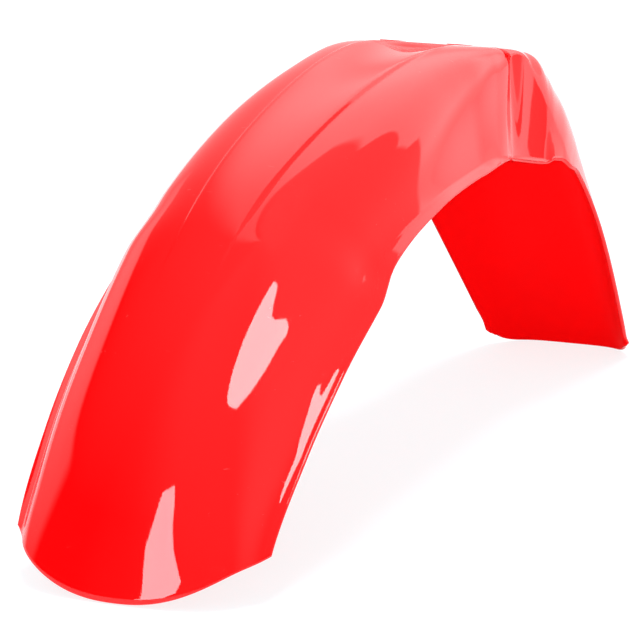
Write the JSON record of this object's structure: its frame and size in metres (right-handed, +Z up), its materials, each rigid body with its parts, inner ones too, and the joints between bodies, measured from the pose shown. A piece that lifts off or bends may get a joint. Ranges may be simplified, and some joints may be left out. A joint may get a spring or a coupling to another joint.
{
  "type": "motorcycle front mudguard",
  "caption": "High-mounted front mudguard of an off-road motorcycle, moulded in one piece, with a dipped centre panel, a flat seat for the fork clamp and a walled rear flap.",
  "frame": {"origin": "centre of the part's bounding box, at its lowest level, where the nose tip and the end of the rear flap rest on a floor", "axes": "+X across the part, -Y towards the nose, the front of the motorcycle, +Y towards the rider, +Z up"},
  "size_m": [0.218, 0.6938, 0.2953],
  "materials": {
    "red_plastic": "gloss"
  },
  "bodies": {
    "root": {"mudguard": "red_plastic"}
  },
  "joints": []
}
